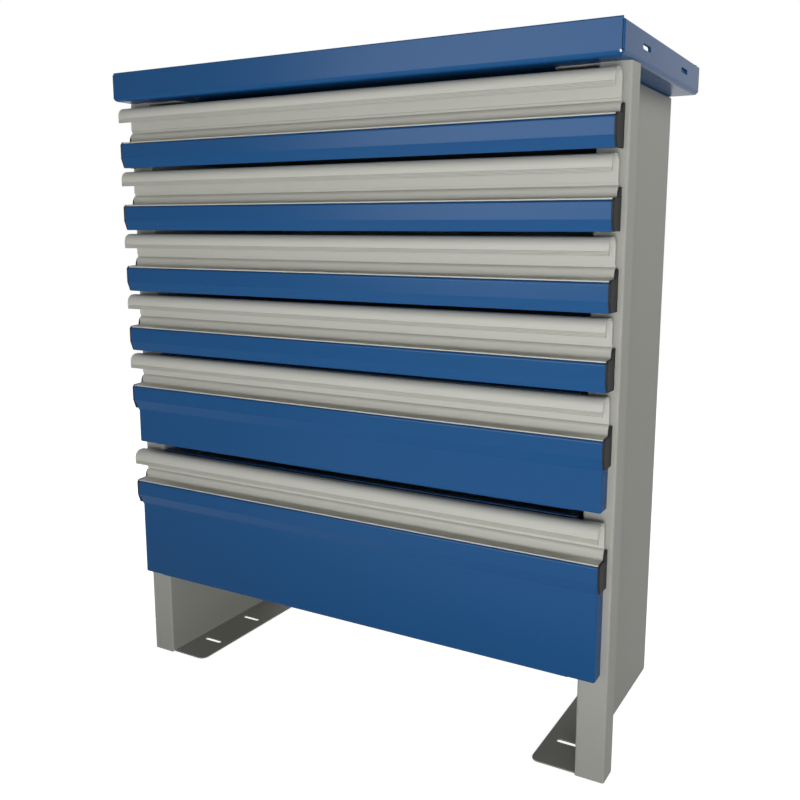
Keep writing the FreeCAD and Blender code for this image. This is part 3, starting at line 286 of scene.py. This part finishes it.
def surround():
    """The world: white to the eye, a soft grey sky to everything else."""
    world = bpy.data.worlds.new("studio")
    bpy.context.scene.world = world
    world.use_nodes = True
    tree = world.node_tree
    tree.nodes.clear()
    place = add_node(tree, "ShaderNodeTexCoord")
    parts = add_node(tree, "ShaderNodeSeparateXYZ", {"Vector": place.outputs["Generated"]})
    height = add_node(tree, "ShaderNodeMapRange",
                      {"Value": parts.outputs["Z"], "From Min": 0.0, "From Max": SKY_TOP,
                       "To Min": SKY_LOW, "To Max": SKY_HIGH})
    soft = add_node(tree, "ShaderNodeBackground",
                    {"Color": WHITE, "Strength": height.outputs["Result"]})
    white = add_node(tree, "ShaderNodeBackground", {"Color": WHITE, "Strength": 1.0})
    choice = add_node(tree, "ShaderNodeMixShader", {"Fac": seen_directly(tree)})
    tree.links.new(soft.outputs["Background"], choice.inputs[1])
    tree.links.new(white.outputs["Background"], choice.inputs[2])
    output = add_node(tree, "ShaderNodeOutputWorld")
    tree.links.new(choice.outputs["Shader"], output.inputs["Surface"])


def floor():
    """A pale floor under the feet; to the eye it is nearly white and keeps a light shadow."""
    bpy.ops.mesh.primitive_plane_add(size=FLOOR_SIZE, location=(0, 0, -FLOOR_SINK * MM))
    plane = bpy.context.object
    plane.name = "floor"
    material, tree, output = new_material("pale_floor")
    matt = add_node(tree, "ShaderNodeBsdfDiffuse", {"Color": linear(FLOOR_TONE)})
    glow = add_node(tree, "ShaderNodeMath", {0: seen_directly(tree), 1: FLOOR_GLOW}, operation="MULTIPLY")
    white = add_node(tree, "ShaderNodeEmission", {"Color": WHITE, "Strength": glow.outputs["Value"]})
    both = add_node(tree, "ShaderNodeAddShader", {0: matt.outputs["BSDF"], 1: white.outputs["Emission"]})
    tree.links.new(both.outputs["Shader"], output.inputs["Surface"])
    plane.data.materials.append(material)


def lamp(name, place, aim, width, height, power, only_gloss=False):
    """A soft oval lamp, aimed at a point; one kept to gloss is a card that only reflections show."""
    data = bpy.data.lights.new(name, "AREA")
    data.shape = "ELLIPSE"
    data.size = width
    data.size_y = height
    data.energy = power
    item = bpy.data.objects.new(name, data)
    item.location = place
    item.rotation_euler = (Vector(aim) - Vector(place)).to_track_quat("-Z", "Y").to_euler()
    item.visible_diffuse = not only_gloss
    bpy.context.scene.collection.objects.link(item)


surround()
floor()
# Each lamp has its place and aim in metres, its width and height, and its power in watts.
lamp("front_softbox", (0.80, -1.60, 0.28), (0.10, 0.0, 0.50), 0.8, 0.7, 15.0)
lamp("floor_reflector", (0.15, -1.15, 0.02), (0.15, -1.15, 1.0), 2.0, 1.4, 9.0)
lamp("right_softbox", (0.90, 0.05, 1.05), (0.3, 0.0, 0.65), 0.6, 0.5, 1.6)
lamp("left_softbox", (-2.0, 0.2, 1.2), (0.0, 0.0, 0.45), 1.0, 0.8, 10.0)
lamp("back_softbox", (-0.9, 2.0, 1.2), (-0.1, 0.0, 0.4), 1.0, 0.8, 10.0)
lamp("gloss_card", (-0.45, -1.75, 0.92), (-0.05, -0.1, 0.75), 1.2, 1.1, 33.0, only_gloss=True)

# Camera, recovered from the photograph's parallel edges.
EYE = Vector((0.5598, -0.9693, 0.5682))
RIGHT_WAY = Vector((0.8672, 0.4979, 0.0))
UP_WAY = Vector((-0.0838, 0.1460, 0.9857))
SENSOR = 36.0
LENS = 41.10
SHIFT = (-0.0010, -0.02344)
camera_data = bpy.data.cameras.new("camera")
camera_data.sensor_width = SENSOR
camera_data.lens = LENS
camera_data.shift_x, camera_data.shift_y = SHIFT
camera = bpy.data.objects.new("camera", camera_data)
bpy.context.scene.collection.objects.link(camera)
right = RIGHT_WAY.normalized()
up = (UP_WAY - UP_WAY.dot(right) * right).normalized()
back = right.cross(up)
turn = Matrix((right, up, back)).transposed().to_4x4()
camera.matrix_world = Matrix.Translation(EYE) @ turn
bpy.context.scene.camera = camera
bpy.context.scene.view_settings.view_transform = "Standard"
